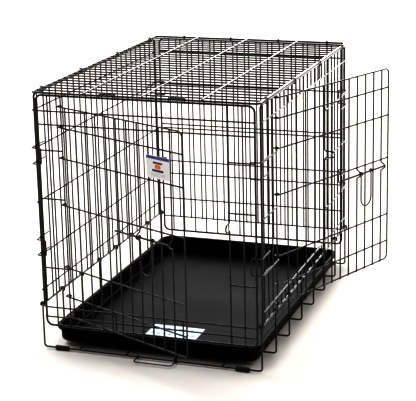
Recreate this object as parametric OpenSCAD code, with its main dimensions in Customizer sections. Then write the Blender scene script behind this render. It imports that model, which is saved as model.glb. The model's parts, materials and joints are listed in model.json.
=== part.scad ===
// Folding wire dog crate with a front door, a side door and a slide-out pan.
// Millimetres. +X right, +Y back, +Z up. The origin is on the ground, under the middle of the crate.

/* [Crate] */
// Width over the corner wires
crate_w = 533; // [480:1:600]
// Length over the corner wires
crate_l = 762; // [700:1:840]
// Height over the top panel's frame wire
crate_h = 610; // [580:1:660]

/* [Wire] */
// Diameter of the frame wires
frame_d = 4.8; // [4.4:0.1:5.4]
// Diameter of the floor panel's cross wires
cross_d = 4; // [3.6:0.1:4.8]
// Diameter of the grille wires
wire_d = 3.4; // [3:0.1:3.8]
// Spacing of the upright wires on the end panels
end_pitch = 32.4; // [30:0.2:34]
// Spacing of the upright wires on the side panels
side_pitch = 32.5; // [30:0.5:34]
// Number of gaps between the top panel's cross wires
top_gaps = 27; // [20:1:30]

/* [Doors] */
// How far the front door stands open at rest
front_open = 24.2; // [0:0.1:110]
// How far the side door stands open at rest
side_open = 22.7; // [0:0.1:110]
// From the front panel's top wire down to the top of its door
front_head = 22.8; // [15:0.1:40]
// From the side panel's top wire down to the top of its door
side_head = 5.2; // [5.2:0.1:25]
// Gaps between the uprights across the front doorway
front_bays = 12; // [10:1:12]
// Gaps between the uprights across the side doorway
side_bays = 13; // [10:1:14]

/* [Bolts] */
// Diameter of the bolt rods
bolt_d = 4.4; // [4:0.1:4.8]
// How far a bolt slides
bolt_travel = 46; // [40:1:48]
// Drop of a bolt handle below its rod
handle_drop = 82; // [60:1:95]
// Width of a bolt handle between its legs
handle_w = 40; // [30:1:42]

/* [Pan] */
// Room between the pan's rim and the crate's sides
pan_side_room = 16.5; // [14.5:0.5:25]
// Room between the pan's rim and the crate's ends
pan_end_room = 17; // [14:0.5:30]
// Height of the pan
pan_h = 38; // [30:1:39]
// Wall thickness of the pan
pan_t = 2.6; // [2:0.1:4]

/* [Feet] */
// Outside diameter of a foot sleeve
foot_d = 11; // [9:0.5:14]
// Length of a foot sleeve
foot_l = 32; // [20:1:45]

/* [Part] */
// Which sub-part to draw

/* [Hidden] */
$fn = 20;
black = [0.05, 0.05, 0.055];
weld = 0.3;                              // how far two crossing wires sink into each other
gap = 0.6;                               // air between two frame wires that lie side by side
off = (frame_d + wire_d) / 2 - weld;     // a grille wire laid on a frame wire
on = (cross_d + wire_d) / 2;             // a floor wire that rests on the cross wires
lay = wire_d - weld;                     // a grille wire laid on another grille wire
side_x = crate_w / 2 - frame_d / 2;      // the side panels' plane
front_y = -crate_l / 2 + frame_d / 2;    // the front panel's plane
back_y = -front_y;
top_z = crate_h - frame_d / 2;           // the top panel's plane
hang_z = top_z - frame_d - gap;          // top wire of the side and end panels
base_z = foot_d / 2;                     // the floor panel's cross wires

cross_eye = (frame_d + cross_d) / 2 + 0.4;  // the floor's eyes, round the side panels' bottom wires
end_x = side_x - cross_eye - (cross_d + frame_d) / 2 - 0.4;  // frame uprights of the end panels
end_low = base_z + 55;                   // bottom wire of the end panels
door_side = front_bays / 2 * end_pitch;  // half the front doorway
sill_z = base_z + 99.7;                  // sill of the front doorway
lintel_z = hang_z - 65.7;                // top of the front doorway

side_low = base_z + 103.6;               // bottom wire of the side panels
side_sill = side_low + 31.6;             // sill of the side doorway
side_lintel = hang_z - 37.1;             // top of the side doorway
post_y = back_y - 10.6;                  // end uprights of the side panels
floor_step = (back_y - front_y) / 7;     // between two of the floor's cross wires
eye_room = 0.0571;                       // between the third eye and the upright behind it
hinge_y = front_y + 2 * floor_step + (cross_d + wire_d) / 2 + eye_room - 3 * side_pitch;  // side door's upright
latch_y = hinge_y + side_bays * side_pitch;

hung = 7.6;                              // the doors' rails stand this far off the hinge wire
eye_r = (hung + wire_d + 0.3) / 2;       // the doors' hinge eyes, which ride round that wire
eye_c = hung - eye_r;
bars = hung + lay;                       // the doors' upright wires
rod = bars + 7.8;                        // the bolt rods
front_door_low = end_low + 28.9;
side_door_low = side_low + 11.9;
front_door_h = hang_z - front_head - front_door_low;
side_door_h = hang_z - side_head - side_door_low;
edge = 6;                                // from the latch wire in to a door's free edge
front_w = front_bays * end_pitch - edge;
side_w = side_bays * side_pitch - edge;
rail_parts = [0, 0.096, 0.239, 0.539, 0.761, 0.904, 1];
front_bolt_z = front_door_low + rail_parts[3] * front_door_h - 20;
side_bolt_z = side_door_low + rail_parts[3] * side_door_h - 14;
catch_r = 8;
catch_in = catch_r - wire_d / 2;         // the latch wires stop here, above and below the bolt

pan_z = base_z + on + wire_d / 2 + 0.3;  // underside of the pan
pan_y = 1.5;
pan_w = crate_w - 2 * pan_side_room;
pan_l = crate_l - 2 * pan_end_room;
label = [126, 70];                       // the sticker in its shallow seat on the pan's floor
label_x = 6;
label_y = 126.5 - pan_l / 2;
ends = floor((end_x - 12) / end_pitch);  // uprights on either side of an end panel's middle
before = floor((hinge_y + post_y - 8) / side_pitch);  // uprights in front of the side door's hinge
inner_x = side_x / 264.1 * 58;           // the floor's two inner long wires
outer_x = side_x / 264.1 * 173;
stop_d = 2.6;                            // the pan stop's wire
stop_w = 92;
stop_l = 30;
stop_x = inner_x + (wire_d + stop_d) / 2 - stop_w / 2;  // its right eye stands against a long wire

// a straight wire from a to b
module wire(a, b, d = wire_d) {
  v = b - a;
  translate(a) rotate([0, acos(v[2] / norm(v)), atan2(v[1], v[0])]) cylinder(h = norm(v), d = d);
}

// a bend of radius r in the plane that turn sets, from angle a0 through angle a
module bend(at, turn, r, a0, a, d = wire_d)
  translate(at) rotate(turn) rotate_extrude(angle = a, start = a0, $fn = 40) translate([r, 0]) circle(d = d);

module ring(at, turn, r, d = wire_d)
  translate(at) rotate(turn) rotate_extrude($fn = 40) translate([r, 0]) circle(d = d);

in_xz = [90, 0, 0];
in_yz = [90, 0, 90];
in_xy = [0, 0, 0];

// a closed frame wire in the XZ plane at y, with round corners
module frame_xz(y, x, low, high, r, d) {
  for (s = [-1, 1]) wire([s * x, y, low + r], [s * x, y, high - r], d);
  wire([-x + r, y, low], [x - r, y, low], d);
  wire([-x + r, y, high], [x - r, y, high], d);
  for (c = [[1, high, 0], [-1, high, 90], [-1, low, 180], [1, low, 270]])
    bend([c[0] * (x - r), y, c[1] + (c[1] == high ? -r : r)], in_xz, r, c[2], 90, d);
}

// a closed frame wire in the XY plane at z
module frame_xy(z, x, y, r, d) {
  for (s = [-1, 1]) {
    wire([s * x, -y + r, z], [s * x, y - r, z], d);
    wire([-x + r, s * y, z], [x - r, s * y, z], d);
  }
  for (c = [[1, 1, 0], [-1, 1, 90], [-1, -1, 180], [1, -1, 270]])
    bend([c[0] * (x - r), c[1] * (y - r), z], in_xy, r, c[2], 90, d);
}

// the floor's cross wires, which turn up at both sides and end in eyes round the side panels
module floor_cross_wires() color(black) {
  r = 7;
  for (i = [0:7]) {
    y = front_y + i * floor_step;
    wire([-side_x + r, y, base_z], [side_x - r, y, base_z], cross_d);
    for (s = [-1, 1]) {
      bend([s * (side_x - r), y, base_z + r], in_xz, r, s > 0 ? 270 : 180, 90, cross_d);
      wire([s * side_x, y, base_z + r], [s * side_x, y, side_low - cross_eye], cross_d);
      ring([s * side_x, y, side_low], in_xz, cross_eye, cross_d);
    }
  }
}

// the floor's long wires, which lie on the cross wires and carry the pan
module floor_long_wires() color(black)
  for (x = [-outer_x, -inner_x, inner_x, outer_x])
    wire([x, front_y - 2, base_z + on], [x, back_y + 2, base_z + on]);

// the frame wires of a side panel; s is 1 for the right side
module side_frame(s) {
  x = s * side_x;
  wire([x, -crate_l / 2 + 1 - 5, side_low], [x, crate_l / 2 - 1 + 5, side_low], frame_d);
  wire([x, -post_y - 4, hang_z], [x, post_y + 4, hang_z], frame_d);
  for (t = [-1, 1]) wire([x, t * post_y, side_low + 1], [x, t * post_y, hang_z - 1], frame_d);
}

module side_rail(s, z, a, b)
  wire([s * (side_x + lay), a, z], [s * (side_x + lay), b, z]);

strip_zs = [hang_z - 124.9, side_low + 241.9, side_low + 115.5];

module left_side_panel() color(black) {
  side_frame(-1);
  for (y = [hinge_y - before * side_pitch : side_pitch : post_y - 6])
    wire([-side_x, y, side_low], [-side_x, y, hang_z]);
  for (z = concat([side_sill, side_lintel], strip_zs))
    side_rail(-1, z, -post_y - 3, post_y + 3);
}

// the right side has the doorway
module right_side_panel() color(black) {
  side_frame(1);
  for (y = [hinge_y - before * side_pitch : side_pitch : post_y - 6])
    if (abs(y - latch_y) < 1) {
      wire([side_x, y, side_low], [side_x, y, side_bolt_z - catch_in]);
      wire([side_x, y, side_bolt_z + catch_in], [side_x, y, hang_z]);
    } else if (y < hinge_y + 1 || y > latch_y)
      wire([side_x, y, side_low], [side_x, y, hang_z]);
    else {
      wire([side_x, y, side_low], [side_x, y, side_sill + 1.5]);
      wire([side_x, y, side_lintel - 1.5], [side_x, y, hang_z]);
    }
  for (z = [side_sill, side_lintel]) side_rail(1, z, -post_y - 3, post_y + 3);
  for (z = strip_zs) {
    side_rail(1, z, -post_y - 3, hinge_y + 1.7);
    side_rail(1, z, latch_y - 1.7, post_y + 3);
  }
}

// the loop on the side latch wire that the bolt slides into
module side_catch() color(black) {
  for (t = [-1, 1])
    wire([side_x + wire_d / 2, latch_y, side_bolt_z + t * catch_r],
         [side_x + rod - 1, latch_y, side_bolt_z + t * catch_r]);
  bend([side_x + rod - 1, latch_y, side_bolt_z], in_xz, catch_r, -90, 180);
}

// the top: a frame wire, cross wires between its sides and three long wires laid over them
module top_panel() color(black) {
  frame_xy(top_z, side_x, back_y, 10, frame_d);
  step = (back_y - front_y) / top_gaps;
  for (i = [1 : top_gaps - 1])
    wire([-side_x, front_y + i * step, top_z], [side_x, front_y + i * step, top_z]);
  for (x = [-138, 0, 138])
    wire([x, front_y - 1, top_z + lay], [x, back_y + 1, top_z + lay]);
}

// the front panel: frame, doorway and the two hooks over the top panel's front wire
module front_panel() color(black) {
  y = front_y;
  yo = front_y - lay;
  frame_xz(y, end_x, end_low, hang_z, 14, frame_d);
  for (i = [-ends:ends]) {
    x = i * end_pitch;
    if (abs(x - door_side) < 1) {
      wire([x, y, end_low], [x, y, front_bolt_z - catch_in]);
      wire([x, y, front_bolt_z + catch_in], [x, y, hang_z]);
    } else if (abs(x) > door_side - 1) wire([x, y, end_low], [x, y, hang_z]);
  }
  for (s = [-1, 1])
    wire([s * 2.5 * end_pitch, y, end_low], [s * 2.5 * end_pitch, y, sill_z + 1.5]);
  for (z = [end_low + 21.5, sill_z, lintel_z, hang_z - 35.1])
    wire([-end_x - 1, yo, z], [end_x + 1, yo, z]);
  for (z = [hang_z - 124.9, end_low + 304, end_low + 140])
    for (s = [-1, 1])
      wire([s * (door_side - 1.7), yo, z], [s * (end_x + 1), yo, z]);
  for (s = [-1, 1]) top_hook(s * 2.5 * end_pitch);
}

// the loop on the front latch wire that the bolt slides into
module front_catch() color(black) {
  y = front_y - rod + 1;
  for (t = [-1, 1])
    wire([door_side, front_y - wire_d / 2, front_bolt_z + t * catch_r],
         [door_side, y, front_bolt_z + t * catch_r]);
  bend([door_side, y, front_bolt_z], in_yz, catch_r, 90, 180);
}

// a flat loop that hangs the front panel over the top panel's front wire
module top_hook(x) {
  d = 2.8;
  over = frame_d / 2 + 0.3 + d / 2;
  for (s = [-1, 1]) {
    wire([x + s * 18, front_y - over, hang_z - 2.4], [x + s * 18, front_y - over, top_z], d);
    wire([x + s * 18, front_y - over + 1, hang_z], [x + s * 18, front_y - 1.5, hang_z], 2.4);
    bend([x + s * 18, front_y, top_z], in_yz, over, 70, 110, d);
  }
  bar = [0, over * cos(70) + sin(70), over * sin(70) - cos(70)];
  wire([x - 19.6, front_y, top_z] + bar, [x + 19.6, front_y, top_z] + bar, d);
}

// the back panel swings in and up on two eyes round the top panel's back wire
module back_panel() color(black) {
  y = back_y;
  yo = back_y + lay;
  frame_xz(y, end_x, end_low, hang_z, 14, frame_d);
  for (i = [-ends:ends]) wire([i * end_pitch, y, end_low], [i * end_pitch, y, hang_z]);
  for (i = [1 - ends:ends]) {
    x = (i - 0.37) * end_pitch;
    wire([x, y, end_low + 38.5], [x, y, hang_z]);
  }
  for (z = [end_low + 40, end_low + 92, end_low + 164, end_low + 200, end_low + 293.5, end_low + 304,
            hang_z - 124.9, hang_z - 35.1])
    wire([-end_x - 1, yo, z], [end_x + 1, yo, z]);
  for (x = end_x / 254.5 * [-181.5, -49.5, 82.5, 214.5])
    ring([x, y, top_z], in_yz, frame_d / 2 + 0.4 + 1.6, 3.2);
}

// slim rings that join the top panel to a side panel
module top_rings(s) {
  d = 2.4;
  r = frame_d / 2 + 0.3 + d / 2;
  for (y = back_y / 378.6 * [-327, -111, 112, 334]) {
    x = s * side_x;
    for (t = [-1, 1]) wire([x + t * r, y, hang_z], [x + t * r, y, top_z], d);
    bend([x, y, top_z], in_xz, r, 0, 180, d);
    bend([x, y, hang_z], in_xz, r, 180, 180, d);
  }
}

module left_top_rings() color(black) top_rings(-1);
module right_top_rings() color(black) top_rings(1);

// two hairpins welded to a side panel's end upright, which reach round an end panel's frame wire
module end_hooks(s, t) {
  d = 3;
  xo = side_x + (frame_d + d) / 2 - 0.15;
  ye = back_y + off + wire_d / 2 + d / 2 + 0.4;
  r = 6;
  half = 18.5;
  for (zc = [strip_zs[0] - 13.8, strip_zs[2] + 23.4]) {
    for (z = [zc - half, zc + half]) {
      wire([s * xo, t * (back_y - 58), z], [s * xo, t * (ye - r), z], d);
      bend([s * (xo - r), t * (ye - r), z], in_xy, r, s > 0 ? (t > 0 ? 0 : 270) : (t > 0 ? 90 : 180), 90, d);
      wire([s * (xo - r), t * ye, z], [s * (end_x - 11), t * ye, z], d);
    }
    wire([s * (end_x - 10), t * ye, zc - half - 1.4], [s * (end_x - 10), t * ye, zc + half + 1.4], d);
  }
}

module front_left_hooks() color(black) end_hooks(-1, -1);
module front_right_hooks() color(black) end_hooks(1, -1);
module back_left_hooks() color(black) end_hooks(-1, 1);
module back_right_hooks() color(black) end_hooks(1, 1);

// a rubber sleeve on a cross wire
module foot(s, t) color([0.06, 0.06, 0.06])
  translate([s * (side_x - 45.1) - foot_l / 2, t * back_y, base_z]) rotate([0, 90, 0]) difference() {
    cylinder(h = foot_l, d = foot_d, $fn = 48);
    translate([0, 0, -1]) cylinder(h = foot_l + 2, d = cross_d + 0.1, $fn = 48);
  }

module foot_front_left() foot(-1, -1);
module foot_front_right() foot(1, -1);
module foot_back_left() foot(-1, 1);
module foot_back_right() foot(1, 1);

// puts a door drawn along +X, with its outside towards -Y, on its hinge wire
module at_front() translate([-door_side, front_y, 0]) rotate([0, 0, -front_open]) children();
module at_side() translate([side_x, hinge_y, 0]) rotate([0, 0, 90 - side_open]) children();

// a door: rails with hinge eyes, a free edge bent from the outer rails, and uprights
module door(w, h, low, bays) {
  r = 12;
  n = len(rail_parts) - 1;
  for (i = [0:n]) {
    z = low + rail_parts[i] * h;
    reach = (i == 0 || i == n) ? w - r : w - 1;
    bend([0, -eye_c, z], in_xy, eye_r, 0, 270);
    wire([0, -hung, z], [reach, -hung, z]);
  }
  wire([w, -hung, low + r], [w, -hung, low + h - r]);
  bend([w - r, -hung, low + r], in_xz, r, 270, 90);
  bend([w - r, -hung, low + h - r], in_xz, r, 0, 90);
  for (i = [1 : bays - 1]) {
    x = w - i * (w + edge) / bays;
    wire([x, -bars, low - 1], [x, -bars, low + h + 1]);
  }
}

// two loops on a door's uprights for the bolt rod
module guides(w, bays, z) {
  r = bolt_d / 2 + 0.4 + wire_d / 2;
  for (i = [1, 4]) {
    x = w - i * (w + edge) / bays;
    for (t = [-1, 1]) wire([x, -bars - wire_d / 2, z + t * r], [x, -rod, z + t * r]);
    bend([x, -rod, z], in_yz, r, 90, 180);
  }
}

module front_door() color(black) at_front() door(front_w, front_door_h, front_door_low, front_bays);
module side_door() color(black) at_side() door(side_w, side_door_h, side_door_low, side_bays);
module front_bolt_guides() color(black) at_front() guides(front_w, front_bays, front_bolt_z);
module side_bolt_guides() color(black) at_side() guides(side_w, side_bays, side_bolt_z);

// a printed card in front of the door's uprights
module label_card() color([0.93, 0.93, 0.95]) at_front()
  translate([front_w - 101, -bars - wire_d / 2 - 0.85, front_door_low + front_door_h - 109]) cube([69, 0.8, 48]);

// the rod of a slide bolt, drawn back
module bolt(w, z) wire([w - 200, -rod, z], [w - 32, -rod, z], bolt_d);

// the hanging loop that turns on the rod
module bolt_handle(w, z) {
  d = 3.2;
  a = w - 124;
  m = a + handle_w / 2;
  r = handle_w / 2;
  e = bolt_d / 2 + 0.35 + d / 2;
  for (x = [a, a + handle_w]) {
    ring([x, -rod, z], in_yz, e, d);
    wire([x, -rod, z - e], [x, -rod, z - handle_drop + r], d);
    // a core through the joint keeps the leg and the round end one piece
    wire([x, -rod, z - handle_drop + r + 2], [x, -rod, z - handle_drop + r - 2], d - 1.2);
  }
  bend([m, -rod, z - handle_drop + r], in_xz, r, 180, 180, d);
}

module front_bolt() color(black) at_front() bolt(front_w, front_bolt_z);
module side_bolt() color(black) at_side() bolt(side_w, side_bolt_z);
module front_bolt_handle() color(black) at_front() bolt_handle(front_w, front_bolt_z);
module side_bolt_handle() color(black) at_side() bolt_handle(side_w, side_bolt_z);

// a rectangle with round corners
module plate(w, l, r) {
  square([w - 2 * r, l], center = true);
  square([w, l - 2 * r], center = true);
  for (x = [-1, 1], y = [-1, 1]) translate([x * (w / 2 - r), y * (l / 2 - r)]) circle(r = r, $fn = 48);
}

// a plastic tray: a raised floor with a channel round it, upright walls and a flat rim with a lip
module pan() color([0.09, 0.09, 0.095]) translate([0, pan_y, pan_z]) {
  rim = 7;
  w = pan_w - 2 * rim;
  l = pan_l - 2 * rim;
  difference() {
    union() {
      linear_extrude(pan_h) plate(w, l, 30);
      translate([0, 0, pan_h - pan_t]) linear_extrude(pan_t) plate(pan_w, pan_l, 37);
      translate([0, 0, pan_h - 7]) linear_extrude(7) plate(pan_w, pan_l, 37);
    }
    translate([0, 0, pan_t]) linear_extrude(pan_h) plate(w - 2 * pan_t, l - 2 * pan_t, 27.4);
    translate([0, 0, pan_h - 8]) linear_extrude(8 - pan_t) difference() {
      plate(pan_w - 2 * pan_t, pan_l - 2 * pan_t, 34.4);
      plate(w, l, 30);
    }
  }
  difference() {
    translate([0, 0, pan_t]) linear_extrude(2) plate(w - 60, l - 60, 18);
    translate([label_x - label[0] / 2 - 0.3, label_y - label[1] / 2 - 0.3, pan_t + 1.5])
      cube([label[0] + 0.6, label[1] + 0.6, 1]);
  }
}

// a printed sticker on the pan's floor
module pan_label() color([0.82, 0.86, 0.92])
  translate([label_x - label[0] / 2, pan_y + label_y - label[1] / 2, pan_z + pan_t + 1.52])
    cube([label[0], label[1], 0.4]);

// a wire flap that turns on the front cross wire, laid down in front of the pan
module pan_stop() color(black) {
  d = stop_d;
  e = cross_d / 2 + 0.3 + d / 2;
  r = 8;
  a = stop_x - stop_w / 2;
  b = stop_x + stop_w / 2;
  for (x = [a, b]) {
    ring([x, front_y, base_z], in_yz, e, d);
    wire([x, front_y - e, base_z], [x, front_y - stop_l + r, base_z], d);
  }
  wire([a + r, front_y - stop_l, base_z], [b - r, front_y - stop_l, base_z], d);
  bend([a + r, front_y - stop_l + r, base_z], in_xy, r, 180, 90, d);
  bend([b - r, front_y - stop_l + r, base_z], in_xy, r, 270, 90, d);
}

floor_cross_wires();
floor_long_wires();
left_side_panel();
right_side_panel();
top_panel();
front_panel();
back_panel();
left_top_rings();
right_top_rings();
front_left_hooks();
front_right_hooks();
back_left_hooks();
back_right_hooks();
foot_front_left();
foot_front_right();
foot_back_left();
foot_back_right();
front_catch();
side_catch();
front_door();
front_bolt_guides();
label_card();
front_bolt();
front_bolt_handle();
side_door();
side_bolt_guides();
side_bolt();
side_bolt_handle();
pan();
pan_label();
pan_stop();
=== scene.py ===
import json
import math
import random

import bmesh
import bpy
from mathutils import Matrix, Vector


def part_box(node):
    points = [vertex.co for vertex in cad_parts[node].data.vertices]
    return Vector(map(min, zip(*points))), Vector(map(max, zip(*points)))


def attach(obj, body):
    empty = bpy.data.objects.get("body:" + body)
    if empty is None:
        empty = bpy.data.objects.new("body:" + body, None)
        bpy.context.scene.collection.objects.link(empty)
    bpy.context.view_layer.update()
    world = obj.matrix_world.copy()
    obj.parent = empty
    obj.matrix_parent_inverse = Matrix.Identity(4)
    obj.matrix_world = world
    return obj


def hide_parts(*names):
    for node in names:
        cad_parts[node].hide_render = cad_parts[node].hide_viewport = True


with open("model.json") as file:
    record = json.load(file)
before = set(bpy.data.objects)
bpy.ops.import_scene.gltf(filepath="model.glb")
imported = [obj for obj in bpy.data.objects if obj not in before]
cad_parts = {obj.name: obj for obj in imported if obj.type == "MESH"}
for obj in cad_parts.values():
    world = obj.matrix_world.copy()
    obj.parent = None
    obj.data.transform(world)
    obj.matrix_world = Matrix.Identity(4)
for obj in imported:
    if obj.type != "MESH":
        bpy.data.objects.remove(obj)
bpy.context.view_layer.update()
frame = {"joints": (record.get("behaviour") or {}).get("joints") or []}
print("frame loaded")

mm = 0.001
joints = {j["name"]: j for j in frame["joints"]}


def boxMm(node):
    low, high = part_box(node)
    return low / mm, high / mm


# wire sizes of the crate, diameters in millimetres
wires = {
    "frame": 4.8,
    "cross": 4.0,      # the floor's cross wires
    "grille": 3.4,
    "rod": 4.4,
    "ring": 2.4,
    "sideHook": 3.0,
    "topHook": 2.8,
    "handle": 3.2,
    "backEye": 3.2,
    "stop": 2.6,
    "sides": 14,       # facets round a wire
    "weldSink": 0.3,   # how far two welded wires sink into each other
    "beadSpread": 1.42,  # weld bead, as a share of the grille wire's radius
}
frameR = wires["frame"] / 2
grilleR = wires["grille"] / 2
lay = wires["grille"] - wires["weldSink"]

# the panels' planes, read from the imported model
topLow, topHigh = boxMm("top_panel")
endBoxLow, endBoxHigh = boxMm("front_panel")
sideX = topHigh.x - frameR
backY = topHigh.y - frameR
frontY = -backY
topZ = topLow.z + frameR
hangZ = topZ - wires["frame"] - 0.6
crossR = wires["cross"] / 2
baseZ = boxMm("floor_cross_wires")[0].z + crossR
endX = endBoxHigh.x - frameR
endLow = endBoxLow.z + frameR
sideLow = boxMm("left_side_panel")[0].z + frameR
postY = backY - 10.6

# spacings shared by the panels and the doors
mesh = {
    "endPitch": 32.4,
    "sidePitch": 32.5,
    "topGaps": 27,
    "frontBays": 12,
    "sideBays": 13,
    "doorEdge": 6.0,   # from the latch wire in to a door's free edge
}
doorSide = mesh["frontBays"] / 2 * mesh["endPitch"]
hingeY = joints["side_door_hinge"]["pos_m"][1] / mm
latchY = hingeY + mesh["sideBays"] * mesh["sidePitch"]
sillZ = baseZ + 99.7
lintelZ = hangZ - 65.7
sideSill = sideLow + 31.6
sideLintel = hangZ - 37.1
sideStrips = [hangZ - 124.9, sideLow + 241.9, sideLow + 115.5]
endStrips = [hangZ - 124.9, endLow + 304, endLow + 140]
frontBoltZ = joints["front_door_hinge"]["pos_m"][2] / mm
sideBoltZ = joints["side_door_hinge"]["pos_m"][2] / mm

# the doors, drawn along +X from the hinge wire with their outside towards -Y
door = {
    "hung": 7.6,         # rails stand this far off the hinge wire
    "corner": 12.0,
    "rails": [0, 0.096, 0.239, 0.539, 0.761, 0.904, 1],
    "rodOff": 7.8,       # bolt rod beyond the uprights
    "guides": [1, 4],    # uprights, counted from the free edge, that guide the bolt
    "catchR": 8.0,
    "handleAt": -124.0,  # the handle's first leg, from the free edge
    "handleW": 40.0,
    "handleDrop": 82.0,
}
bars = door["hung"] + lay
rodOut = bars + door["rodOff"]
frontW = mesh["frontBays"] * mesh["endPitch"] - mesh["doorEdge"]
sideW = mesh["sideBays"] * mesh["sidePitch"] - mesh["doorEdge"]
dice = random.Random(11)


# wire tools
def loopEdges(verts):
    chosen = set(verts)
    return list({e for v in verts for e in v.link_edges if e.other_vert(v) in chosen})


def pushRim(bm, rim, offset, size, centre):
    # one straight step of a wire: a new rim, moved on and resized
    made = bmesh.ops.extrude_edge_only(bm, edges=loopEdges(rim))["geom"]
    new = [g for g in made if isinstance(g, bmesh.types.BMVert)]
    bmesh.ops.translate(bm, vec=offset, verts=new)
    if size != 1:
        bmesh.ops.scale(bm, vec=(size,) * 3, space=Matrix.Translation(-centre), verts=new)
    return new


def bendWire(bm, start, heading, moves, diameter, closed=False):
    # moves are (length,) for a straight, or (radius, degrees, axis) for a bend
    radius = diameter / 2
    chamfer = 0.28 * radius
    spot, ahead = Vector(start), Vector(heading).normalized()
    if len(moves[0]) == 3 and not closed:
        # the cut end comes before a bend, so the bend keeps its centre
        spot = spot - ahead * chamfer
    aim = Matrix.Translation(spot) @ ahead.to_track_quat("Z", "Y").to_matrix().to_4x4()
    width = radius if closed else radius - chamfer
    rim = bmesh.ops.create_circle(bm, segments=wires["sides"], radius=width, cap_ends=not closed,
                                  matrix=aim)["verts"]
    first = list(rim)
    if not closed:
        spot = spot + ahead * chamfer
        rim = pushRim(bm, rim, ahead * chamfer, radius / width, spot)
    for i, move in enumerate(moves):
        if len(move) == 1:
            ends = 0 if closed else (i == 0) + (i == len(moves) - 1)
            step = ahead * (move[0] - ends * chamfer)
            spot = spot + step
            rim = pushRim(bm, rim, step, 1, spot)
            continue
        bendRadius, degrees, axis = move
        axis = Vector(axis).normalized() * (1 if degrees > 0 else -1)
        angle = math.radians(abs(degrees))
        centre = spot + axis.cross(ahead) * bendRadius
        steps = max(3, round(abs(degrees) / 12))
        made = bmesh.ops.spin(bm, geom=loopEdges(rim), cent=centre, axis=axis, angle=angle, steps=steps,
                              dvec=(0, 0, 0), use_merge=False)["geom_last"]
        rim = [g for g in made if isinstance(g, bmesh.types.BMVert)]
        turn = Matrix.Rotation(angle, 3, axis)
        spot = centre + turn @ (spot - centre)
        ahead = turn @ ahead
    if closed:
        bmesh.ops.remove_doubles(bm, verts=first + rim, dist=0.05)
        return
    rim = pushRim(bm, rim, ahead * chamfer, (radius - chamfer) / radius, spot + ahead * chamfer)
    bmesh.ops.contextual_create(bm, geom=loopEdges(rim))


def eyeTurns(eye, first, second, eyeR, kinkR=3.5, lap=300):
    # an eye round a point, and a kink that puts its stem under the point; the stem runs against second
    first, second = Vector(first), Vector(second)
    lean = math.degrees(math.acos(kinkR / (eyeR + kinkR)))
    angle = math.radians(90 + lean - lap)
    axis = first.cross(second)
    start = Vector(eye) + (second * math.cos(angle) - first * math.sin(angle)) * eyeR
    heading = -(first * math.cos(angle) + second * math.sin(angle))
    return {
        "start": start,
        "heading": heading,
        "leaving": [(eyeR, lap, axis), (kinkR, -lean, axis)],
        "arriving": [(kinkR, lean, axis), (eyeR, -lap, axis)],
        "rise": (eyeR + kinkR) * math.sin(math.radians(lean)),
    }


def straightWire(bm, a, b, diameter):
    a, b = Vector(a), Vector(b)
    bendWire(bm, a, b - a, [((b - a).length,)], diameter)


def roundRect(bm, centre, across, up, width, height, corner, diameter):
    # a closed frame wire; across and up are the directions of its sides
    across, up = Vector(across), Vector(up)
    axis = across.cross(up)
    start = Vector(centre) - up * height / 2 - across * (width / 2 - corner)
    moves = []
    for side in (width, height, width, height):
        moves += [(side - 2 * corner,), (corner, 90, axis)]
    bendWire(bm, start, across, moves, diameter, closed=True)


def weldAt(bm, spot, normal, size=1.0):
    # the squeezed-out metal and thick coat where two wires are welded
    spread = grilleR * wires["beadSpread"] * size * dice.uniform(0.93, 1.07)
    aim = Vector(normal).to_track_quat("Z", "Y").to_matrix().to_4x4()
    shape = Matrix.Diagonal((spread, spread, grilleR * 0.95 * size, 1))
    spin = Matrix.Rotation(dice.uniform(0, math.pi), 4, "Z")
    bead = Matrix.Translation(spot) @ aim @ spin @ shape
    bmesh.ops.create_icosphere(bm, subdivisions=2, radius=1, matrix=bead)


def finishPiece(bm, name, nodes, body, material, place=None):
    if place is not None:
        bmesh.ops.transform(bm, matrix=place, verts=bm.verts)
    bmesh.ops.scale(bm, vec=(mm, mm, mm), verts=bm.verts)
    bmesh.ops.recalc_face_normals(bm, faces=bm.faces)
    sharp = math.radians(42)
    for face in bm.faces:
        face.smooth = True
    for edge in bm.edges:
        edge.smooth = not (len(edge.link_faces) == 2 and edge.calc_face_angle(0) > sharp)
    data = bpy.data.meshes.new(name)
    bm.to_mesh(data)
    bm.free()
    data.materials.append(material)
    piece = bpy.data.objects.new(name, data)
    bpy.context.scene.collection.objects.link(piece)
    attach(piece, body)
    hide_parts(*nodes)
    print(f"{name}: {len(data.polygons)} faces")
    return piece


# materials
def groupSockets(group, inputs, outputs):
    for label, kind, value in inputs:
        socket = group.interface.new_socket(name=label, in_out="INPUT", socket_type=kind)
        if value is not None:
            socket.default_value = value
    for label, kind in outputs:
        group.interface.new_socket(name=label, in_out="OUTPUT", socket_type=kind)


def addNode(tree, kind, **settings):
    node = tree.nodes.new(kind)
    for key, value in settings.items():
        if key.startswith("in_"):
            node.inputs[key[3:].replace("_", " ")].default_value = value
        else:
            setattr(node, key, value)
    return node


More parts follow.
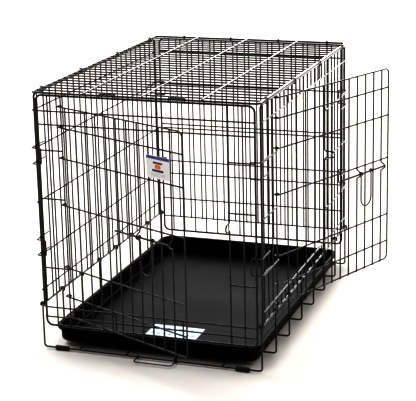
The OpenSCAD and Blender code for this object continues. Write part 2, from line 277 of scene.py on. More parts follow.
def makeGrainGroup():
    # fine moulded or sprayed grain: a height and a speck mask
    group = bpy.data.node_groups.new("fineGrain", "ShaderNodeTree")
    groupSockets(group, [("Vector", "NodeSocketVector", None), ("Scale", "NodeSocketFloat", 900.0),
                         ("Rough", "NodeSocketFloat", 0.6), ("Speck", "NodeSocketFloat", 0.62)],
                 [("Height", "NodeSocketFloat"), ("Specks", "NodeSocketFloat")])
    start = group.nodes.new("NodeGroupInput")
    end = group.nodes.new("NodeGroupOutput")
    noise = addNode(group, "ShaderNodeTexNoise", in_Detail=3.0)
    link = group.links.new
    link(start.outputs["Vector"], noise.inputs["Vector"])
    link(start.outputs["Scale"], noise.inputs["Scale"])
    link(start.outputs["Rough"], noise.inputs["Roughness"])
    link(noise.outputs["Fac"], end.inputs["Height"])
    over = addNode(group, "ShaderNodeMath", operation="SUBTRACT")
    link(noise.outputs["Fac"], over.inputs[0])
    link(start.outputs["Speck"], over.inputs[1])
    steep = addNode(group, "ShaderNodeMath", operation="MULTIPLY", use_clamp=True)
    steep.inputs[1].default_value = 9.0
    link(over.outputs[0], steep.inputs[0])
    link(steep.outputs[0], end.inputs["Specks"])
    return group


def makeWearGroup():
    # broad handling marks: a patchy mask broken up by small scratches
    group = bpy.data.node_groups.new("handlingWear", "ShaderNodeTree")
    groupSockets(group, [("Vector", "NodeSocketVector", None), ("Scale", "NodeSocketFloat", 9.0),
                         ("Amount", "NodeSocketFloat", 0.5), ("Breakup", "NodeSocketFloat", 220.0)],
                 [("Mask", "NodeSocketFloat"), ("Broad", "NodeSocketFloat")])
    start = group.nodes.new("NodeGroupInput")
    end = group.nodes.new("NodeGroupOutput")
    link = group.links.new
    broad = addNode(group, "ShaderNodeTexNoise", in_Detail=4.0, in_Roughness=0.55)
    small = addNode(group, "ShaderNodeTexNoise", in_Detail=5.0, in_Roughness=0.7, in_Distortion=0.6)
    for noise, scale in ((broad, "Scale"), (small, "Breakup")):
        link(start.outputs["Vector"], noise.inputs["Vector"])
        link(start.outputs[scale], noise.inputs["Scale"])
    both = addNode(group, "ShaderNodeMath", operation="MULTIPLY")
    link(broad.outputs["Fac"], both.inputs[0])
    link(small.outputs["Fac"], both.inputs[1])
    lift = addNode(group, "ShaderNodeMapRange", clamp=True)
    lift.inputs["From Min"].default_value = 0.24
    lift.inputs["From Max"].default_value = 0.42
    link(both.outputs[0], lift.inputs["Value"])
    share = addNode(group, "ShaderNodeMath", operation="MULTIPLY", use_clamp=True)
    link(lift.outputs["Result"], share.inputs[0])
    link(start.outputs["Amount"], share.inputs[1])
    link(share.outputs[0], end.inputs["Mask"])
    link(broad.outputs["Fac"], end.inputs["Broad"])
    return group


grainGroup = makeGrainGroup()
wearGroup = makeWearGroup()


def newMaterial(name):
    material = bpy.data.materials.new(name)
    material.use_nodes = True
    tree = material.node_tree
    shader = tree.nodes["Principled BSDF"]
    coords = tree.nodes.new("ShaderNodeTexCoord")
    return material, tree, shader, coords


def useGroup(tree, group, vector, **values):
    node = tree.nodes.new("ShaderNodeGroup")
    node.node_tree = group
    tree.links.new(vector, node.inputs["Vector"])
    for key, value in values.items():
        node.inputs[key].default_value = value
    return node


def mixColours(tree, mask, low, high):
    mix = tree.nodes.new("ShaderNodeMix")
    mix.data_type = "RGBA"
    mix.inputs["A"].default_value = (*low, 1) if not hasattr(low, "is_output") else (0, 0, 0, 1)
    mix.inputs["B"].default_value = (*high, 1)
    if hasattr(low, "is_output"):
        tree.links.new(low, mix.inputs["A"])
    tree.links.new(mask, mix.inputs["Factor"])
    return mix.outputs["Result"]


def rangeOf(tree, value, low, high):
    span = tree.nodes.new("ShaderNodeMapRange")
    span.inputs["To Min"].default_value = low
    span.inputs["To Max"].default_value = high
    tree.links.new(value, span.inputs["Value"])
    return span.outputs["Result"]


def bumpFrom(tree, shader, height, strength, distance):
    bump = tree.nodes.new("ShaderNodeBump")
    bump.inputs["Strength"].default_value = strength
    bump.inputs["Distance"].default_value = distance
    tree.links.new(height, bump.inputs["Height"])
    tree.links.new(bump.outputs["Normal"], shader.inputs["Normal"])


def coatedWire(name, base, scuffed, gloss, wear):
    # black electro-coat over steel: glossy, faint orange peel, dull handling marks
    material, tree, shader, coords = newMaterial(name)
    grain = useGroup(tree, grainGroup, coords.outputs["Object"], Scale=1400.0, Rough=0.5, Speck=0.66)
    marks = useGroup(tree, wearGroup, coords.outputs["Object"], Scale=14.0, Amount=wear, Breakup=260.0)
    tree.links.new(mixColours(tree, marks.outputs["Mask"], base, scuffed), shader.inputs["Base Color"])
    dull = tree.nodes.new("ShaderNodeMath")
    dull.operation = "ADD"
    tree.links.new(rangeOf(tree, marks.outputs["Broad"], gloss - 0.06, gloss + 0.1), dull.inputs[0])
    tree.links.new(rangeOf(tree, marks.outputs["Mask"], 0, 0.25), dull.inputs[1])
    tree.links.new(dull.outputs[0], shader.inputs["Roughness"])
    shader.inputs["Specular IOR Level"].default_value = 0.45
    bumpFrom(tree, shader, grain.outputs["Height"], 0.25, 0.00012)
    return material


def panPlastic():
    # moulded black plastic: fine grain, pale specks, streaks that run across the pan
    finish = {
        "base": (0.002, 0.0019, 0.0019),
        "speck": (0.019, 0.0175, 0.016),
        "streak": (0.0075, 0.0067, 0.0062),
    }
    material, tree, shader, coords = newMaterial("panPlastic")
    grain = useGroup(tree, grainGroup, coords.outputs["Object"], Scale=1100.0, Rough=0.65, Speck=0.6)
    stretch = addNode(tree, "ShaderNodeMapping", vector_type="POINT")
    stretch.inputs["Scale"].default_value = (0.12, 1.0, 1.0)
    tree.links.new(coords.outputs["Object"], stretch.inputs["Vector"])
    streaks = useGroup(tree, wearGroup, stretch.outputs["Vector"], Scale=26.0, Amount=0.8, Breakup=150.0)
    marks = useGroup(tree, wearGroup, coords.outputs["Object"], Scale=5.0, Amount=0.5, Breakup=90.0)
    streaked = mixColours(tree, streaks.outputs["Mask"], finish["base"], finish["streak"])
    speckled = mixColours(tree, grain.outputs["Specks"], streaked, finish["speck"])
    tree.links.new(speckled, shader.inputs["Base Color"])
    tree.links.new(rangeOf(tree, marks.outputs["Broad"], 0.36, 0.54), shader.inputs["Roughness"])
    shader.inputs["Specular IOR Level"].default_value = 0.04
    bumpFrom(tree, shader, grain.outputs["Height"], 0.5, 0.00035)
    return material


def footRubber():
    material, tree, shader, coords = newMaterial("footRubber")
    grain = useGroup(tree, grainGroup, coords.outputs["Object"], Scale=1600.0, Rough=0.7, Speck=0.6)
    dust = useGroup(tree, wearGroup, coords.outputs["Object"], Scale=60.0, Amount=0.6, Breakup=500.0)
    tree.links.new(mixColours(tree, dust.outputs["Mask"], (0.016, 0.016, 0.016), (0.06, 0.057, 0.053)),
                   shader.inputs["Base Color"])
    tree.links.new(rangeOf(tree, grain.outputs["Height"], 0.55, 0.85), shader.inputs["Roughness"])
    bumpFrom(tree, shader, grain.outputs["Height"], 0.5, 0.0003)
    return material


def printedPaper(name, ink, gloss):
    # coated card or label film in one ink, with paper fibre and a faint print mottle
    material, tree, shader, coords = newMaterial(name)
    fibre = useGroup(tree, grainGroup, coords.outputs["Object"], Scale=2600.0, Rough=0.8, Speck=0.64)
    mottle = useGroup(tree, wearGroup, coords.outputs["Object"], Scale=40.0, Amount=0.35, Breakup=900.0)
    faded = tuple(0.86 * c + 0.05 for c in ink)
    tree.links.new(mixColours(tree, mottle.outputs["Mask"], ink, faded), shader.inputs["Base Color"])
    dull = rangeOf(tree, mottle.outputs["Broad"], gloss - 0.08, gloss + 0.1)
    tree.links.new(dull, shader.inputs["Roughness"])
    bumpFrom(tree, shader, fibre.outputs["Height"], 0.2, 0.00008)
    return material


blackCoat = coatedWire("blackCoat", (0.0028, 0.0028, 0.003), (0.012, 0.0115, 0.011), 0.2, 0.5)
rubbedCoat = coatedWire("rubbedCoat", (0.007, 0.007, 0.0075), (0.07, 0.068, 0.066), 0.24, 0.9)
plasticBlack = panPlastic()
rubberBlack = footRubber()
inks = {
    "card": printedPaper("cardWhite", (0.83, 0.84, 0.87), 0.32),
    "band": printedPaper("cardBand", (0.09, 0.075, 0.3), 0.3),
    "dark": printedPaper("cardDark", (0.05, 0.05, 0.055), 0.35),
    "accent": printedPaper("cardAccent", (0.85, 0.2, 0.04), 0.35),
    "pale": printedPaper("cardPale", (0.52, 0.54, 0.6), 0.35),
    "film": printedPaper("stickerFilm", (0.36, 0.43, 0.52), 0.25),
    "filmInk": printedPaper("stickerInk", (0.1, 0.13, 0.18), 0.3),
}
print("materials made")


# floor panel
def floorPanel():
    tub = {"bend": 7.0, "cross": 8, "long": [-173, -58, 58, 173]}
    eyeR = frameR + crossR + 0.4
    ys = [frontY + i * (backY - frontY) / (tub["cross"] - 1) for i in range(tub["cross"])]
    bm = bmesh.new()
    for y in ys:
        left = eyeTurns((-sideX, y, sideLow), (-1, 0, 0), (0, 0, 1), eyeR)
        right = eyeTurns((sideX, y, sideLow), (1, 0, 0), (0, 0, 1), eyeR)
        upright = (sideLow - left["rise"] - baseZ - tub["bend"],)
        corner = (tub["bend"], -90, (0, 1, 0))
        across = (2 * (sideX - tub["bend"]),)
        body = [upright, corner, across, corner, upright]
        moves = left["leaving"] + body + right["arriving"]
        bendWire(bm, left["start"], left["heading"], moves, wires["cross"])
    finishPiece(bm, "floorCrossWires", ["floor_cross_wires"], "crate", blackCoat)
    bm = bmesh.new()
    z = baseZ + crossR + grilleR
    for x in tub["long"]:
        straightWire(bm, (x, frontY - 2, z), (x, backY + 2, z), wires["grille"])
        for y in ys:
            weldAt(bm, (x, y, z - grilleR), (0, 0, 1), 1.1)
    finishPiece(bm, "floorLongWires", ["floor_long_wires"], "crate", blackCoat)


# side, top, front and back panels
def latchWire(bm, foot, top, boltZ, out):
    # an upright with a loop bent outwards for the bolt
    up, out = Vector((0, 0, 1)), Vector(out)
    axis = up.cross(out)
    shoulder, loopR = 5.0, door["catchR"]
    leg = rodOut - 1 - shoulder
    below = boltZ - loopR - shoulder - foot[2]
    above = top - (boltZ + loopR + shoulder)
    bendWire(bm, foot, up, [(below,), (shoulder, 90, axis), (leg,), (loopR, -180, axis), (leg,),
                            (shoulder, 90, axis), (above,)], wires["grille"])


def sidePanel(side):
    name = "left" if side < 0 else "right"
    x = side * sideX
    rail = side * (sideX + lay)
    bm = bmesh.new()
    straightWire(bm, (x, frontY - 6.4, sideLow), (x, backY + 6.4, sideLow), wires["frame"])
    corner = (9.0, 90, (-1, 0, 0))
    post = hangZ - sideLow - 9.0
    arch = [(post,), corner, (2 * postY - 18,), corner, (post,)]
    bendWire(bm, (x, -postY, sideLow), (0, 0, 1), arch, wires["frame"])
    uprights = []
    y = hingeY - 3 * mesh["sidePitch"]
    while y < postY - 6:
        uprights.append(y)
        y += mesh["sidePitch"]
    rails = [sideSill, sideLintel]
    for z in rails:
        straightWire(bm, (rail, -postY - 3, z), (rail, postY + 3, z), wires["grille"])
    for z in sideStrips:
        if side < 0:
            straightWire(bm, (rail, -postY - 3, z), (rail, postY + 3, z), wires["grille"])
        else:
            straightWire(bm, (rail, -postY - 3, z), (rail, hingeY + 1.7, z), wires["grille"])
            straightWire(bm, (rail, latchY - 1.7, z), (rail, postY + 3, z), wires["grille"])
    for y in uprights:
        inDoorway = side > 0 and hingeY + 1 < y < latchY - 1
        if side > 0 and abs(y - latchY) < 1:
            latchWire(bm, (x, y, sideLow), hangZ, sideBoltZ, (1, 0, 0))
        elif inDoorway:
            straightWire(bm, (x, y, sideLow), (x, y, sideSill + 1.5), wires["grille"])
            straightWire(bm, (x, y, sideLintel - 1.5), (x, y, hangZ), wires["grille"])
        else:
            straightWire(bm, (x, y, sideLow), (x, y, hangZ), wires["grille"])
        crossings = rails if inDoorway else rails + sideStrips
        for z in crossings:
            weldAt(bm, ((x + rail) / 2, y, z), (1, 0, 0))
        for z in (sideLow + 1.6, hangZ - 1.6):
            weldAt(bm, (x, y, z), (0, 0, 1), 1.1)
    for y in (-postY, postY):
        for z in rails + sideStrips:
            weldAt(bm, (x + side * 1.9, y, z), (1, 0, 0), 1.15)
        weldAt(bm, (x, y, sideLow + 1.9), (0, 0, 1), 1.45)
    nodes = [f"{name}_side_panel"] + (["side_catch"] if side > 0 else [])
    finishPiece(bm, f"{name}SidePanel", nodes, "crate", blackCoat)


def topPanel():
    roof = {"corner": 10.0, "long": [-138, 0, 138]}
    bm = bmesh.new()
    roundRect(bm, (0, 0, topZ), (1, 0, 0), (0, 1, 0), 2 * sideX, 2 * backY, roof["corner"], wires["frame"])
    step = (backY - frontY) / mesh["topGaps"]
    ys = [frontY + i * step for i in range(1, mesh["topGaps"])]
    for y in ys:
        straightWire(bm, (-sideX, y, topZ), (sideX, y, topZ), wires["grille"])
        for side in (-1, 1):
            weldAt(bm, (side * (sideX - 1.7), y, topZ), (1, 0, 0), 1.1)
    for x in roof["long"]:
        straightWire(bm, (x, frontY - 1, topZ + lay), (x, backY + 1, topZ + lay), wires["grille"])
        for y in [frontY, *ys, backY]:
            weldAt(bm, (x, y, topZ + lay / 2), (0, 0, 1), 1.0)
    finishPiece(bm, "topPanel", ["top_panel"], "crate", blackCoat)


def topHook(bm, x):
    # a hairpin that hangs the front panel over the top panel's front wire
    hook = {"half": 18.0, "corner": 3.5, "lap": 110}
    d = wires["topHook"]
    over = frameR + 0.3 + d / 2
    lapAxis = (-1, 0, 0)
    aim = math.radians(hook["lap"])
    heading = Vector((0, math.sin(aim), math.cos(aim)))
    across = Vector((1, 0, 0))
    leg = (topZ - hangZ + 1.6,)
    bendWire(bm, (x - hook["half"], frontY - over, hangZ - 1.6), (0, 0, 1),
             [leg, (over, hook["lap"], lapAxis), (hook["corner"], 90, heading.cross(across)),
              (2 * (hook["half"] - hook["corner"]),), (hook["corner"], 90, heading.cross(across)),
              (over, -hook["lap"], lapAxis), leg], d)
    for side in (-1, 1):
        weldAt(bm, (x + side * hook["half"], frontY - frameR + 0.2, hangZ), (0, 1, 0), 1.1)


def endPanel(back):
    y = backY if back else frontY
    out = 1 if back else -1
    rail = y + out * lay
    bm = bmesh.new()
    roundRect(bm, (0, y, (endLow + hangZ) / 2), (1, 0, 0), (0, 0, 1), 2 * endX, hangZ - endLow, 14.0,
              wires["frame"])
    if back:
        rails = [endLow + 40, endLow + 92, endLow + 164, endLow + 200, endLow + 293.5, endLow + 304,
                 hangZ - 124.9, hangZ - 35.1]
        strips = []
    else:
        rails = [endLow + 21.5, sillZ, lintelZ, hangZ - 35.1]
        strips = endStrips
    for z in rails:
        straightWire(bm, (-endX - 1, rail, z), (endX + 1, rail, z), wires["grille"])
    for z in strips:
        for side in (-1, 1):
            straightWire(bm, (side * (doorSide - 1.7), rail, z), (side * (endX + 1), rail, z),
                         wires["grille"])
    uprights = [(i * mesh["endPitch"], endLow, hangZ) for i in range(-7, 8)]
    if back:
        uprights += [((i - 0.37) * mesh["endPitch"], endLow + 38.5, hangZ) for i in range(-6, 8)]
    else:
        uprights = [u for u in uprights if abs(u[0]) > doorSide - 1]
        uprights += [(side * 2.5 * mesh["endPitch"], endLow, sillZ + 1.5) for side in (-1, 1)]
    for x, foot, top in uprights:
        if not back and abs(x - doorSide) < 1:
            latchWire(bm, (x, y, foot), top, frontBoltZ, (0, -1, 0))
        else:
            straightWire(bm, (x, y, foot), (x, y, top), wires["grille"])
        for z in rails + strips:
            if foot < z < top:
                weldAt(bm, (x, (y + rail) / 2, z), (0, 1, 0))
        for z in (endLow, hangZ):
            if foot <= z <= top:
                weldAt(bm, (x, y, z - math.copysign(1.6, z - 300)), (0, 0, 1), 1.1)
    for side in (-1, 1):
        for z in rails + strips:
            weldAt(bm, (side * endX, y + out * 1.9, z), (0, 1, 0), 1.15)
    if back:
        eyeR = frameR + 0.4 + wires["backEye"] / 2
        for x in (-181.5, -49.5, 82.5, 214.5):
            bendWire(bm, (x, y, topZ + eyeR), (0, 1, 0), [(eyeR, -360, (1, 0, 0))], wires["backEye"],
                     closed=True)
    else:
        for side in (-1, 1):
            topHook(bm, side * 2.5 * mesh["endPitch"])
    name, nodes = ("backPanel", ["back_panel"]) if back else ("frontPanel", ["front_panel", "front_catch"])
    finishPiece(bm, name, nodes, "back_panel" if back else "crate", blackCoat)


# rings, hooks and feet
def topRings(side):
    name = "left" if side < 0 else "right"
    d = wires["ring"]
    r = frameR + 0.3 + d / 2
    bm = bmesh.new()
    for y in (-327, -111, 112, 334):
        start = (side * sideX - r, y, hangZ)
        half = (r, 180, (0, 1, 0))
        bendWire(bm, start, (0, 0, 1), [(topZ - hangZ,), half, (topZ - hangZ,), half], d, closed=True)
    finishPiece(bm, f"{name}TopRings", [f"{name}_top_rings"], "crate", blackCoat)


def cornerHooks(side, end):
    # two hairpins from a side panel's end upright round an end panel's frame wire
    hook = {
        "bend": 6.0,
        "tip": 4.0,
        "half": 18.5,
        "reach": 58.0,
        "lower": [sideStrips[0] - 13.8, sideStrips[2] + 23.4],
    }
    d = wires["sideHook"]
    outX = sideX + frameR + d / 2 - 0.15
    outY = backY + (wires["frame"] + wires["grille"]) / 2 - 0.3 + grilleR + d / 2 + 0.4
    along, inwards, up = Vector((0, end, 0)), Vector((-side, 0, 0)), Vector((0, 0, 1))
    arm = (outY - hook["bend"] - (backY - hook["reach"]),)
    face = (outX - hook["bend"] - (endX - 10) - hook["tip"],)
    corner = along.cross(inwards)
    rise = inwards.cross(up)
    bm = bmesh.new()
    for z in hook["lower"]:
        bendWire(bm, (side * outX, end * (backY - hook["reach"]), z - hook["half"]), along,
                 [arm, (hook["bend"], 90, corner), face, (hook["tip"], 90, rise),
                  (2 * (hook["half"] - hook["tip"]),), (hook["tip"], 90, rise), face,
                  (hook["bend"], -90, corner), arm], d)
        for step in (-1, 1):
            weldAt(bm, (side * (outX - 1.5), end * postY, z + step * hook["half"]), (1, 0, 0), 1.1)
    name = ("front" if end < 0 else "back", "left" if side < 0 else "right")
    finishPiece(bm, f"{name[0]}{name[1].title()}Hooks", [f"{name[0]}_{name[1]}_hooks"], "crate", blackCoat)


def foot(side, end):
    sleeve = {
        "length": 32.0,
        "outer": 5.5,
        "bore": crossR + 0.05,
        "round": 0.9,
        "groove": 0.35,
        "at": 219.0,
    }
    half = sleeve["length"] / 2
    profile = [(-half + 0.4, sleeve["bore"]), (-half, sleeve["bore"] + 0.5)]
    profile.append((-half, sleeve["outer"] - sleeve["round"]))
    profile += [(-half + 0.3, sleeve["outer"] - 0.3), (-half + sleeve["round"], sleeve["outer"])]
    for x in (-11.5, 11.5):
        profile += [(x - 0.8, sleeve["outer"]), (x - 0.4, sleeve["outer"] - sleeve["groove"]),
                    (x + 0.4, sleeve["outer"] - sleeve["groove"]), (x + 0.8, sleeve["outer"])]
    profile += [(-x, r) for x, r in reversed(profile[:5])]
    bm = bmesh.new()
    centre = Vector((side * sleeve["at"], end * backY, baseZ))
    verts = [bm.verts.new(centre + Vector((x, 0, r))) for x, r in profile]
    edges = [bm.edges.new((verts[i], verts[(i + 1) % len(verts)])) for i in range(len(verts))]
    bmesh.ops.spin(bm, geom=verts + edges, cent=centre, axis=(1, 0, 0), angle=math.tau, steps=40,
                   dvec=(0, 0, 0), use_merge=True)
    name = ("front" if end < 0 else "back", "left" if side < 0 else "right")
    finishPiece(bm, f"foot{name[0].title()}{name[1].title()}", [f"foot_{name[0]}_{name[1]}"], "crate",
                rubberBlack)


# doors, bolts and handles
def doorPlace(hinge, slide):
    # turns a door drawn along +X onto its hinge wire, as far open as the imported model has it
    along = -Vector(joints[slide]["axis"])
    x, y, _ = joints[hinge]["pos_m"]
    return Matrix.Translation((x / mm, y / mm, 0)) @ Matrix.Rotation(math.atan2(along.y, along.x), 4, "Z")


def guideWire(bm, x, foot, top, boltZ):
    # an upright kinked outwards round the bolt rod
    kink = {"shoulder": 3.0, "lean": 55.0}
    tip = wires["rod"] / 2 + 0.4 + grilleR
    lean = math.radians(kink["lean"])
    flat = door["rodOff"] + tip - (kink["shoulder"] + tip) * (1 - math.cos(lean))
    slope = flat / math.sin(lean)
    half = (kink["shoulder"] + tip) * math.sin(lean) + slope * math.cos(lean)
    axis = (1, 0, 0)
    out = (kink["shoulder"], kink["lean"], axis)
    loop = [out, (slope,), (tip, -2 * kink["lean"], axis), (slope,), out]
    bendWire(bm, (x, -bars, foot), (0, 0, 1), [(boltZ - half - foot,)] + loop + [(top - boltZ - half,)],
             wires["grille"])


def makeDoor(name, nodes, body, width, bays, boltZ, place, box):
    low = box[0].z + grilleR
    height = box[1].z - grilleR - low
    eyeR = (door["hung"] + wires["grille"] + 0.3) / 2
    eyeY = -(door["hung"] - eyeR)
    hung, r = -door["hung"], door["corner"]
    eye = (eyeR, 270, (0, 0, 1))
    bm = bmesh.new()
    rim = (width - r,)
    corner = (r, -90, (0, 1, 0))
    edge = [eye, rim, corner, (height - 2 * r,), corner, rim, (eyeR, -270, (0, 0, 1))]
    bendWire(bm, (eyeR, eyeY, low), (0, 1, 0), edge, wires["grille"])
    uprights = [width - i * (width + mesh["doorEdge"]) / bays for i in range(1, bays)]
    for share in door["rails"]:
        z = low + share * height
        if 0 < share < 1:
            bendWire(bm, (eyeR, eyeY, z), (0, 1, 0), [eye, (width - 1,)], wires["grille"])
            weldAt(bm, (width - 1.4, hung, z), (1, 0, 0), 1.05)
        for x in uprights:
            weldAt(bm, (x, (hung - bars) / 2, z), (0, 1, 0))
    for i, x in enumerate(uprights, 1):
        if i in door["guides"]:
            guideWire(bm, x, low - 1, low + height + 1, boltZ)
        else:
            straightWire(bm, (x, -bars, low - 1), (x, -bars, low + height + 1), wires["grille"])
    finishPiece(bm, name, nodes, body, blackCoat, place)


def makeBolt(name, node, body, width, boltZ, place):
    bm = bmesh.new()
    straightWire(bm, (width - 200, -rodOut, boltZ), (width - 32, -rodOut, boltZ), wires["rod"])
    finishPiece(bm, name, [node], body, rubbedCoat, place)


def makeHandle(name, node, body, width, boltZ, place):
    d = wires["handle"]
    eyeR = wires["rod"] / 2 + 0.35 + d / 2
    half = door["handleW"] / 2
    first = eyeTurns((width + door["handleAt"], -rodOut, boltZ), (0, -1, 0), (0, 0, 1), eyeR, 2.5, 285)
    leg = (door["handleDrop"] - half - first["rise"],)
    bm = bmesh.new()
    drop = [leg, (half, 180, (0, -1, 0)), leg]
    bendWire(bm, first["start"], first["heading"], first["leaving"] + drop + first["arriving"], d)
    finishPiece(bm, name, [node], body, rubbedCoat, place)


def printedCard(place):
    # a coated card on the door: a band, a round motif and a few bars stand for its print
    low, high = boxMm("front_door")
    card = {
        "at": frontW - 101,
        "low": high.z - grilleR - 109.0,
        "width": 69.0,
        "height": 48.0,
        "thick": 0.8,
        "corner": 2.5,
    }
    back = -bars - grilleR - 0.05
    shapes = [
        ("labelCard", "card", card["width"] / 2, card["height"] / 2, card["width"], card["height"], 0,
         card["thick"]),
        ("cardBand", "band", card["width"] / 2, 44.3, card["width"] - 1, 6.6, card["thick"], 0.05),
        ("cardDisc", "accent", 34.0, 25.5, 17, 9, card["thick"], 0.05),
        ("cardBarUpper", "dark", 34.0, 33.5, 27, 4.2, card["thick"], 0.05),
        ("cardBarLower", "dark", 34.0, 17.0, 33, 5.0, card["thick"], 0.05),
        ("cardLineUpper", "pale", 34.0, 10.0, 50, 1.2, card["thick"], 0.05),
        ("cardLineLower", "pale", 34.0, 6.6, 42, 1.0, card["thick"], 0.05),
    ]
    for name, ink, x, z, width, height, above, thick in shapes:
        isCard = name == "labelCard"
        bm = bmesh.new()
        flatShape(bm, width, height, card["corner"] if isCard else min(width, height) * 0.35, thick)
        turn = Matrix.Rotation(math.radians(90), 4, "X")
        shift = Matrix.Translation((card["at"] + x, back - above, card["low"] + z))
        bmesh.ops.transform(bm, matrix=shift @ turn, verts=bm.verts)
        finishPiece(bm, name, ["label_card"] if isCard else [], "front_door", inks[ink], place)


def flatShape(bm, width, height, corner, thick):
    # a thin rounded rectangle, its back on z = 0
    bmesh.ops.create_grid(bm, x_segments=1, y_segments=1, size=0.5)
    bmesh.ops.scale(bm, vec=(width, height, 1), verts=bm.verts)
    bmesh.ops.bevel(bm, geom=list(bm.verts), offset=corner, segments=6, profile=0.5, affect="VERTICES",
                    material=-1)
    made = bmesh.ops.extrude_face_region(bm, geom=list(bm.faces))["geom"]
    bmesh.ops.translate(bm, vec=(0, 0, thick), verts=[g for g in made if isinstance(g, bmesh.types.BMVert)])


# the pan
def trayRing(bm, width, length, corner, spot):
    # an open ring shaped like a rounded rectangle
    before = set(bm.verts)
    bmesh.ops.create_grid(bm, x_segments=1, y_segments=1, size=0.5)
    fresh = [v for v in bm.verts if v not in before]
    bmesh.ops.scale(bm, vec=(width, length, 1), verts=fresh)
    bmesh.ops.bevel(bm, geom=fresh, offset=corner, segments=10, profile=0.5, affect="VERTICES", material=-1)
    fresh = [v for v in bm.verts if v not in before]
    bmesh.ops.translate(bm, vec=spot, verts=fresh)
    bmesh.ops.delete(bm, geom=list({f for v in fresh for f in v.link_faces}), context="FACES_ONLY")
    return list({e for v in fresh for e in v.link_edges})


def pan():
    tray = {"wall": 2.2, "corner": 37.0}
    low, high = boxMm("pan")
    size = high - low
    middle = (low + high) / 2
    # straights are (inset, rise); rounds are (radius, from, to), headings in degrees above the way in;
    # the profile runs from the lip's lower edge over the rim to the middle of the floor
    profile = [(0.2, 6.2), (1.8, 88, 0), (2.4, 0), (0.8, 0, -40), (0.8, -40, 0), (1.0, 0), (2.2, 0, -86),
               (1.8, 7.15 - size.z + tray["wall"]), (5.0, -86, 0), (8.0, 0.25), (8.0, 0.25),
               (2.2, 0, 48), (2.2, 48, 0), (9.0, 0.1), (0.8, 0, -42), (0.8, -42, 0), (1.4, 0.05),
               (0.8, 0, 42), (0.8, 42, 0), (20.0, 0.1)]
    inset, drop = 0.0, 6.2 + 1.74
    path = [(inset, drop)]
    for step in profile:
        if len(step) == 2:
            inset, drop = inset + step[0], drop - step[1]
            path.append((inset, drop))
            continue
        radius, begin, finish = step
        count = max(2, round(abs(finish - begin) / 15))
        angles = [math.radians(begin + (finish - begin) * k / count) for k in range(count + 1)]
        turn = radius if finish < begin else -radius
        for a, b in zip(angles, angles[1:]):
            inset += turn * (math.sin(a) - math.sin(b))
            drop -= turn * (math.cos(b) - math.cos(a))
            path.append((inset, drop))
    bm = bmesh.new()
    last = None
    for inset, drop in path:
        corner = max(tray["corner"] - inset, 8.0)
        spot = (middle.x, middle.y, high.z - drop)
        ring = trayRing(bm, size.x - 2 * inset, size.y - 2 * inset, corner, spot)
        if last:
            bmesh.ops.bridge_loops(bm, edges=last + ring)
        last = ring
    bmesh.ops.contextual_create(bm, geom=last)
    bmesh.ops.recalc_face_normals(bm, faces=bm.faces)
    bm.normal_update()
    if next(f for f in bm.faces if len(f.verts) > 8).normal.z < 0:
        bmesh.ops.reverse_faces(bm, faces=bm.faces)
        bm.normal_update()
    bmesh.ops.solidify(bm, geom=list(bm.faces), thickness=tray["wall"])
    return finishPiece(bm, "panTray", ["pan"], "pan", plasticBlack)


def panSticker():
    low, high = boxMm("pan_label")
    middle = (low + high) / 2
    rows = [("panSticker", "film", 0, 0, high.x - low.x, high.y - low.y, 0, 0.4)]
    for row, shift in enumerate((17, -17)):
        for k in range(8):
            tall = dice.uniform(9, 15)
            wide = dice.uniform(3.5, 9)
            rows.append((f"stickerMark{row}{k}", "filmInk", -50 + 14.2 * k, shift, wide, tall, 0.4, 0.04))
    for name, ink, x, y, width, length, above, thick in rows:
        bm = bmesh.new()
        flatShape(bm, width, length, 1.2, thick)
        bmesh.ops.translate(bm, vec=(middle.x + x, middle.y + y, low.z + above), verts=bm.verts)
        finishPiece(bm, name, ["pan_label"] if name == "panSticker" else [], "pan", inks[ink])


def panStop():
    flap = {"middle": 15.0, "width": 92.0, "length": 30.0, "corner": 8.0}
    d = wires["stop"]
    eyeR = crossR + 0.3 + d / 2
    left = flap["middle"] - flap["width"] / 2
    eye = eyeTurns((left, frontY, baseZ), (0, 0, 1), (0, 1, 0), eyeR, 2.2, 290)
    leg = (flap["length"] - flap["corner"] - eye["rise"],)
    corner = (flap["corner"], 90, (0, 0, 1))
    bm = bmesh.new()
    body = [leg, corner, (flap["width"] - 2 * flap["corner"],), corner, leg]
    bendWire(bm, eye["start"], eye["heading"], eye["leaving"] + body + eye["arriving"], d)
    finishPiece(bm, "panStop", ["pan_stop"], "pan_stop", blackCoat)


floorPanel()
topPanel()
for back in (False, True):
    endPanel(back)
for side in (-1, 1):
    sidePanel(side)
    topRings(side)
    for end in (-1, 1):
        cornerHooks(side, end)
        foot(side, end)
frontPlace = doorPlace("front_door_hinge", "front_bolt_slide")
sidePlace = doorPlace("side_door_hinge", "side_bolt_slide")
makeDoor("frontDoor", ["front_door", "front_bolt_guides"], "front_door", frontW, mesh["frontBays"],
         frontBoltZ, frontPlace, boxMm("front_door"))
makeDoor("sideDoor", ["side_door", "side_bolt_guides"], "side_door", sideW, mesh["sideBays"],
         sideBoltZ, sidePlace, boxMm("side_door"))
makeBolt("frontBolt", "front_bolt", "front_bolt", frontW, frontBoltZ, frontPlace)
makeBolt("sideBolt", "side_bolt", "side_bolt", sideW, sideBoltZ, sidePlace)
makeHandle("frontBoltHandle", "front_bolt_handle", "front_bolt_handle", frontW, frontBoltZ, frontPlace)
makeHandle("sideBoltHandle", "side_bolt_handle", "side_bolt_handle", sideW, sideBoltZ, sidePlace)
printedCard(frontPlace)
pan()
panSticker()
panStop()
print("pieces made")


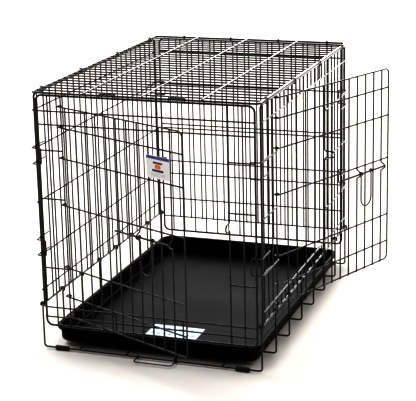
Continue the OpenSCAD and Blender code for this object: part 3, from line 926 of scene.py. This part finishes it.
# floor, light and camera
def stageFloor():
    bm = bmesh.new()
    bmesh.ops.create_grid(bm, x_segments=1, y_segments=1, size=20)
    data = bpy.data.meshes.new("studioFloor")
    bm.to_mesh(data)
    bm.free()
    floor = bpy.data.objects.new("studioFloor", data)
    bpy.context.scene.collection.objects.link(floor)
    paint = bpy.data.materials.new("studioWhite")
    paint.use_nodes = True
    shader = paint.node_tree.nodes["Principled BSDF"]
    shader.inputs["Base Color"].default_value = (0.9, 0.865, 0.83, 1)
    shader.inputs["Roughness"].default_value = 0.9
    shader.inputs["Specular IOR Level"].default_value = 0.1
    data.materials.append(paint)


def sunLight(name, aim, spread, power, colour):
    lamp = bpy.data.lights.new(name, "SUN")
    lamp.angle = math.radians(spread)
    lamp.energy = power
    lamp.color = colour
    holder = bpy.data.objects.new(name, lamp)
    holder.rotation_euler = Vector(aim).to_track_quat("-Z", "Y").to_euler()
    bpy.context.scene.collection.objects.link(holder)


def skyBand(tree, source, start, end, low, high):
    band = tree.nodes.new("ShaderNodeMapRange")
    band.inputs["From Min"].default_value = start
    band.inputs["From Max"].default_value = end
    band.inputs["To Min"].default_value = low
    band.inputs["To Max"].default_value = high
    tree.links.new(source, band.inputs["Value"])
    return band.outputs["Result"]


def studioLight():
    # bright behind and above the crate, dim in front of it, as on a table with a white sweep
    sky = {"front": 0.06, "back": 1.0, "glow": 8.0, "colour": (1, 0.99, 0.98, 1)}
    world = bpy.data.worlds.new("studio")
    bpy.context.scene.world = world
    world.use_nodes = True
    tree = world.node_tree
    coords = tree.nodes.new("ShaderNodeTexCoord")
    split = tree.nodes.new("ShaderNodeSeparateXYZ")
    lift = tree.nodes.new("ShaderNodeMath")
    lift.operation = "MULTIPLY_ADD"
    lift.inputs[1].default_value = 0.8
    total = tree.nodes.new("ShaderNodeMath")
    tree.links.new(coords.outputs["Generated"], split.inputs["Vector"])
    tree.links.new(split.outputs["Z"], lift.inputs[0])
    tree.links.new(split.outputs["Y"], lift.inputs[2])
    tree.links.new(skyBand(tree, lift.outputs[0], -0.45, 0.75, sky["front"], sky["back"]), total.inputs[0])
    tree.links.new(skyBand(tree, split.outputs["Y"], 0.72, 0.92, 0.0, sky["glow"]), total.inputs[1])
    tree.nodes["Background"].inputs["Color"].default_value = sky["colour"]
    tree.links.new(total.outputs[0], tree.nodes["Background"].inputs["Strength"])
    sunLight("keyLight", (0.55, -0.1, -0.83), 34, 1.95, (0.97, 0.985, 1))
    bpy.context.scene.view_settings.view_transform = "Standard"
    bpy.context.scene.view_settings.gamma = 0.55


def photoCamera():
    # direction and place of the view, in degrees and metres
    shot = {
        "turn": -19.610,
        "down": 14.551,
        "roll": -1.290,
        "spot": (1.1105, -3.0788, 1.2257),
        "focal": 1382.36,   # for a picture 416 wide
        "wide": 416,
        "shift": -0.1,
    }
    turn, down, roll = (math.radians(shot[k]) for k in ("turn", "down", "roll"))
    ahead = Vector((math.sin(turn) * math.cos(down), math.cos(turn) * math.cos(down), -math.sin(down)))
    level = Vector((math.cos(turn), -math.sin(turn), 0))
    above = level.cross(ahead)
    right = level * math.cos(roll) + above * math.sin(roll)
    up = above * math.cos(roll) - level * math.sin(roll)
    lens = bpy.data.cameras.new("photoCamera")
    lens.sensor_width = 36
    lens.lens = shot["focal"] * lens.sensor_width / shot["wide"]
    lens.shift_y = shot["shift"]
    holder = bpy.data.objects.new("photoCamera", lens)
    holder.matrix_world = Matrix((right, up, -ahead)).transposed().to_4x4()
    holder.location = shot["spot"]
    bpy.context.scene.collection.objects.link(holder)
    bpy.context.scene.camera = holder


stageFloor()
studioLight()
photoCamera()
